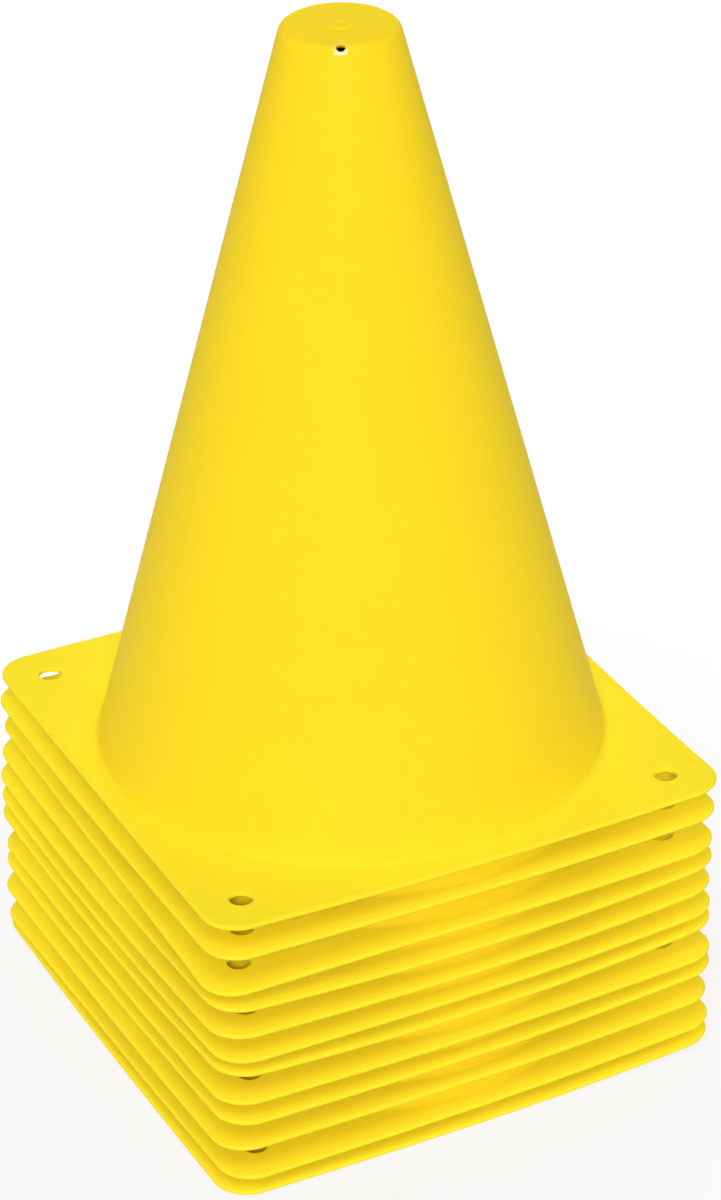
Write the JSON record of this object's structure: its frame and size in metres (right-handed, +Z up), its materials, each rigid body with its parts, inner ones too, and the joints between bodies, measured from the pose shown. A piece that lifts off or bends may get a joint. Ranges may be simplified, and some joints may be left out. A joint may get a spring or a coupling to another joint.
{
  "type": "marker cone stack",
  "caption": "Stack of nested sports marker cones: thin hollow cones on square flanges with a hole in each corner, each lifting off the one below.",
  "frame": {"origin": "on the ground under the lowest cone's axis, which is within half a millimetre of the middle of the box round the stack", "axes": "+Z up along the cones, X and Y along the sides of the lowest flange"},
  "size_m": [0.1429, 0.1428, 0.2708],
  "materials": {
    "yellow_plastic": "satin moulded polyethylene"
  },
  "bodies": {
    "cone_01": {"cone_01": "yellow_plastic"},
    "cone_02": {"cone_02": "yellow_plastic"},
    "cone_03": {"cone_03": "yellow_plastic"},
    "cone_04": {"cone_04": "yellow_plastic"},
    "cone_05": {"cone_05": "yellow_plastic"},
    "cone_06": {"cone_06": "yellow_plastic"},
    "cone_07": {"cone_07": "yellow_plastic"},
    "cone_08": {"cone_08": "yellow_plastic"},
    "cone_09": {"cone_09": "yellow_plastic"},
    "cone_10": {"cone_10": "yellow_plastic"},
    "cone_11": {"cone_11": "yellow_plastic"},
    "cone_12": {"cone_12": "yellow_plastic"}
  },
  "joints": [
    {"name": "lift_02", "type": "slide", "parent": "cone_01", "child": "cone_02", "axis": [0, 0, 1], "range_m": [0, 0.19]},
    {"name": "lift_03", "type": "slide", "parent": "cone_02", "child": "cone_03", "axis": [0, 0, 1], "range_m": [0, 0.19]},
    {"name": "lift_04", "type": "slide", "parent": "cone_03", "child": "cone_04", "axis": [0, 0, 1], "range_m": [0, 0.19]},
    {"name": "lift_05", "type": "slide", "parent": "cone_04", "child": "cone_05", "axis": [0, 0, 1], "range_m": [0, 0.19]},
    {"name": "lift_06", "type": "slide", "parent": "cone_05", "child": "cone_06", "axis": [0, 0, 1], "range_m": [0, 0.19]},
    {"name": "lift_07", "type": "slide", "parent": "cone_06", "child": "cone_07", "axis": [0, 0, 1], "range_m": [0, 0.19]},
    {"name": "lift_08", "type": "slide", "parent": "cone_07", "child": "cone_08", "axis": [0, 0, 1], "range_m": [0, 0.19]},
    {"name": "lift_09", "type": "slide", "parent": "cone_08", "child": "cone_09", "axis": [0, 0, 1], "range_m": [0, 0.19]},
    {"name": "lift_10", "type": "slide", "parent": "cone_09", "child": "cone_10", "axis": [0, 0, 1], "range_m": [0, 0.19]},
    {"name": "lift_11", "type": "slide", "parent": "cone_10", "child": "cone_11", "axis": [0, 0, 1], "range_m": [0, 0.19]},
    {"name": "lift_12", "type": "slide", "parent": "cone_11", "child": "cone_12", "axis": [0, 0, 1], "range_m": [0, 0.19]}
  ]
}
